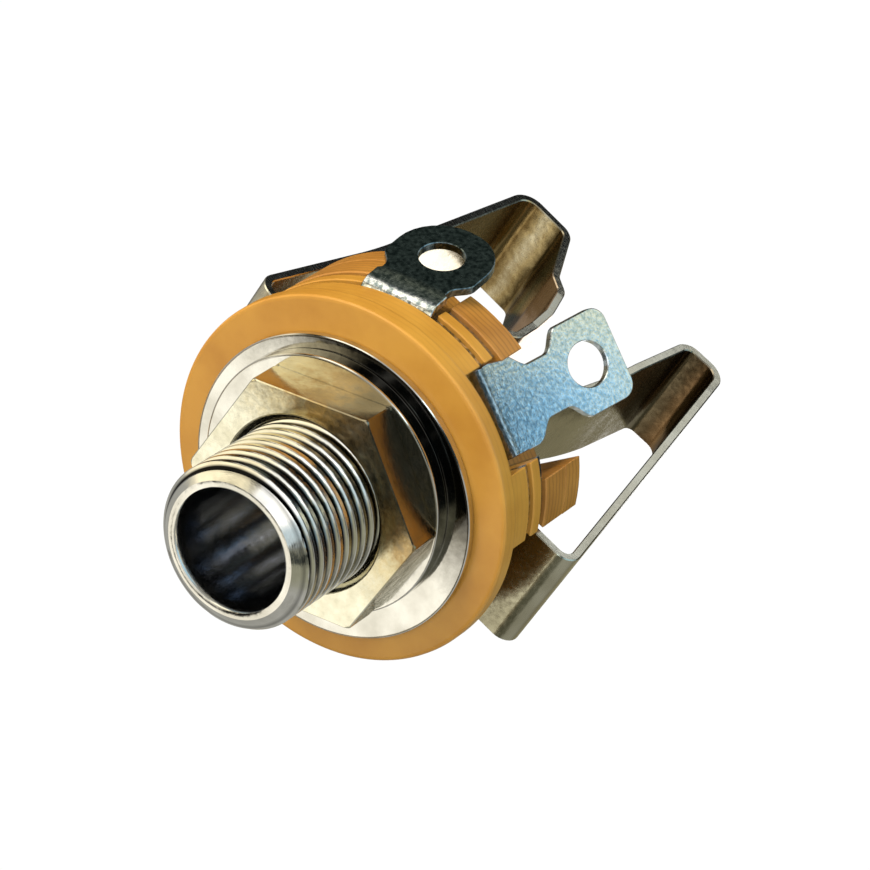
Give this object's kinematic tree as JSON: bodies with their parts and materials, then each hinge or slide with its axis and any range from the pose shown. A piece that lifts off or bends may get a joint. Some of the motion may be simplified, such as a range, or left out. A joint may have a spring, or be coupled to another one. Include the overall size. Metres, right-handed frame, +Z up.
{
  "type": "mono jack socket",
  "caption": "Open-frame panel socket for a 6.35 mm mono plug, with a threaded bushing, nut, washers, insulator stack, leaf contacts and solder lugs.",
  "frame": {"origin": "on the plug axis, in the plane of the insulating disc's front face, where the panel seats", "axes": "the plug axis lies along Y: the mouth faces -Y and the contact springs reach back along +Y; +Z is up"},
  "size_m": [0.0234, 0.0376, 0.0227],
  "materials": {
    "nickel_bushing": "bright nickel plate over brass",
    "nickel_nut": "satin nickel plate over brass",
    "steel_washer": "plated, bright",
    "amber_phenolic": "smooth",
    "brown_phenolic": "punched laminate",
    "paper_tube": "matte",
    "contact_metal": "plated spring metal, satin"
  },
  "bodies": {
    "socket": {"threaded_bushing": "nickel_bushing", "front_insulator": "amber_phenolic", "flange_insulator": "amber_phenolic", "middle_insulator": "amber_phenolic", "rear_insulator": "brown_phenolic", "end_insulator": "brown_phenolic", "insulating_tube": "paper_tube", "tip_terminal": "contact_metal", "sleeve_terminal": "contact_metal", "rivet_washer": "steel_washer"},
    "washers": {"small_washer": "steel_washer", "large_washer": "steel_washer"},
    "nut": {"hex_nut": "nickel_nut"},
    "tip_contact": {"tip_spring": "contact_metal"},
    "sleeve_contact": {"sleeve_spring": "contact_metal"}
  },
  "joints": [
    {"name": "nut_travel", "type": "slide", "parent": "socket", "child": "washers", "axis": [0, -1, 0], "range_m": [0, 0.00635]},
    {"name": "nut_spin", "type": "hinge", "parent": "washers", "child": "nut", "pos_m": [0, -0.00255, 0], "axis": [0, -1, 0], "range_deg": [0, 2881]},
    {"name": "tip_spring_flex", "type": "hinge", "parent": "socket", "child": "tip_contact", "pos_m": [-0.0073, 0.0032, 0.00483], "axis": [0.5519, 0, 0.8339], "range_deg": [0, 12], "stiffness_Nm_per_rad": 0.3},
    {"name": "sleeve_spring_flex", "type": "hinge", "parent": "socket", "child": "sleeve_contact", "pos_m": [0.0073, 0.0045, -0.00483], "axis": [-0.5519, 0, -0.8339], "range_deg": [0, 5], "stiffness_Nm_per_rad": 0.3}
  ],
  "couplings": [
    {"joint": "nut_spin", "follows": "nut_travel", "rad_per_m": 7915.8}
  ]
}
